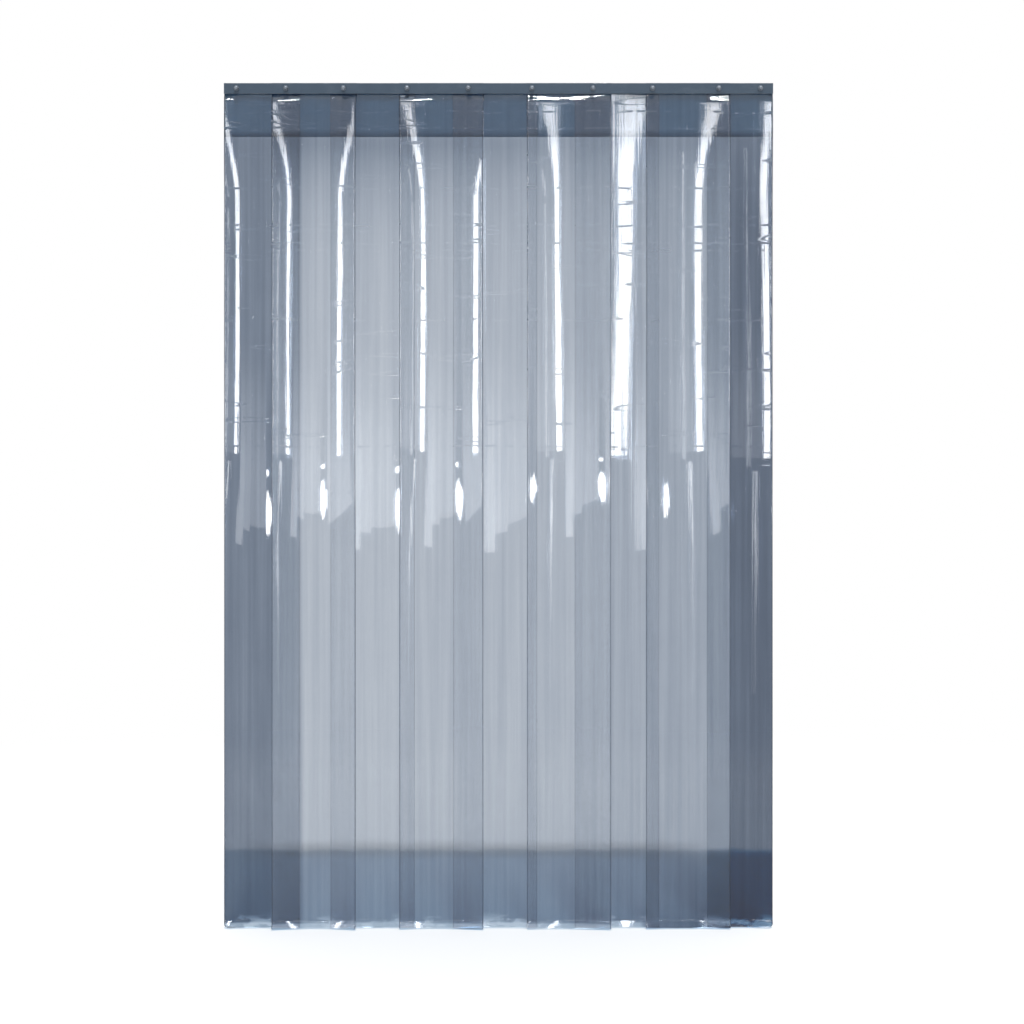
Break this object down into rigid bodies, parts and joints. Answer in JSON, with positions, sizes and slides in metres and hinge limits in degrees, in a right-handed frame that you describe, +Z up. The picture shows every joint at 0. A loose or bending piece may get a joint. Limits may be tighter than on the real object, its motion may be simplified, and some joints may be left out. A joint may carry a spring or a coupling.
{
  "type": "pvc strip curtain",
  "caption": "Doorway curtain of overlapping clear PVC strips, clamped in two layers to a steel header and free to swing out of the way.",
  "frame": {"origin": "On the flat top of the header's flange, where it bears on the lintel or ceiling, at the middle of its length and of its depth.", "axes": "+X along the curtain, to the right in the picture; +Y away from the viewer, the way the back layer of strips swings; +Z up."},
  "size_m": [1.3, 0.0701, 2],
  "materials": {
    "header_paint": "satin",
    "clamp_steel": "satin",
    "bolt_steel": "zinc plated",
    "clear_pvc": "clear, glossy"
  },
  "bodies": {
    "header": {"header_angle": "header_paint", "header_gusset_1": "header_paint", "header_gusset_2": "header_paint", "header_gusset_3": "header_paint", "end_plate_left": "header_paint", "end_plate_right": "header_paint", "clamp_bar": "header_paint", "end_packer_left": "clear_pvc", "end_packer_right": "clear_pvc", "clamp_bolt_1": "bolt_steel", "clamp_bolt_2": "bolt_steel", "clamp_bolt_3": "bolt_steel", "clamp_bolt_4": "bolt_steel", "clamp_bolt_5": "bolt_steel", "clamp_bolt_6": "bolt_steel", "clamp_bolt_7": "bolt_steel", "clamp_bolt_8": "bolt_steel", "clamp_bolt_9": "bolt_steel", "clamp_bolt_10": "bolt_steel", "clamp_washer_1": "clamp_steel", "clamp_washer_2": "clamp_steel", "clamp_washer_3": "clamp_steel", "clamp_washer_4": "clamp_steel", "clamp_washer_5": "clamp_steel", "clamp_washer_6": "clamp_steel", "clamp_washer_7": "clamp_steel", "clamp_washer_8": "clamp_steel", "clamp_washer_9": "clamp_steel", "clamp_washer_10": "clamp_steel", "clamp_nut_1": "clamp_steel", "clamp_nut_2": "clamp_steel", "clamp_nut_3": "clamp_steel", "clamp_nut_4": "clamp_steel", "clamp_nut_5": "clamp_steel", "clamp_nut_6": "clamp_steel", "clamp_nut_7": "clamp_steel", "clamp_nut_8": "clamp_steel", "clamp_nut_9": "clamp_steel", "clamp_nut_10": "clamp_steel", "strip_head_1": "clear_pvc", "strip_head_2": "clear_pvc", "strip_head_3": "clear_pvc", "strip_head_4": "clear_pvc", "strip_head_5": "clear_pvc", "strip_head_6": "clear_pvc", "strip_head_7": "clear_pvc", "strip_head_8": "clear_pvc", "strip_head_9": "clear_pvc"},
    "hanging_strip_1": {"strip_1": "clear_pvc"},
    "hanging_strip_2": {"strip_2": "clear_pvc"},
    "hanging_strip_3": {"strip_3": "clear_pvc"},
    "hanging_strip_4": {"strip_4": "clear_pvc"},
    "hanging_strip_5": {"strip_5": "clear_pvc"},
    "hanging_strip_6": {"strip_6": "clear_pvc"},
    "hanging_strip_7": {"strip_7": "clear_pvc"},
    "hanging_strip_8": {"strip_8": "clear_pvc"},
    "hanging_strip_9": {"strip_9": "clear_pvc"}
  },
  "joints": [
    {"name": "strip_1_swing", "type": "hinge", "parent": "header", "child": "hanging_strip_1", "pos_m": [-0.56, -0.0263, -0.131], "axis": [1, 0, 0], "range_deg": [0, 85]},
    {"name": "strip_2_swing", "type": "hinge", "parent": "header", "child": "hanging_strip_2", "pos_m": [-0.436, -0.0286, -0.131], "axis": [-1, 0, 0], "range_deg": [0, 85]},
    {"name": "strip_3_swing", "type": "hinge", "parent": "header", "child": "hanging_strip_3", "pos_m": [-0.298, -0.0263, -0.131], "axis": [1, 0, 0], "range_deg": [0, 85]},
    {"name": "strip_4_swing", "type": "hinge", "parent": "header", "child": "hanging_strip_4", "pos_m": [-0.135, -0.0286, -0.131], "axis": [-1, 0, 0], "range_deg": [0, 85]},
    {"name": "strip_5_swing", "type": "hinge", "parent": "header", "child": "hanging_strip_5", "pos_m": [-0.008, -0.0263, -0.131], "axis": [1, 0, 0], "range_deg": [0, 85]},
    {"name": "strip_6_swing", "type": "hinge", "parent": "header", "child": "hanging_strip_6", "pos_m": [0.1666, -0.0286, -0.131], "axis": [-1, 0, 0], "range_deg": [0, 85]},
    {"name": "strip_7_swing", "type": "hinge", "parent": "header", "child": "hanging_strip_7", "pos_m": [0.2806, -0.0263, -0.131], "axis": [1, 0, 0], "range_deg": [0, 85]},
    {"name": "strip_8_swing", "type": "hinge", "parent": "header", "child": "hanging_strip_8", "pos_m": [0.4486, -0.0286, -0.131], "axis": [-1, 0, 0], "range_deg": [0, 85]},
    {"name": "strip_9_swing", "type": "hinge", "parent": "header", "child": "hanging_strip_9", "pos_m": [0.572, -0.0263, -0.131], "axis": [1, 0, 0], "range_deg": [0, 85]}
  ]
}
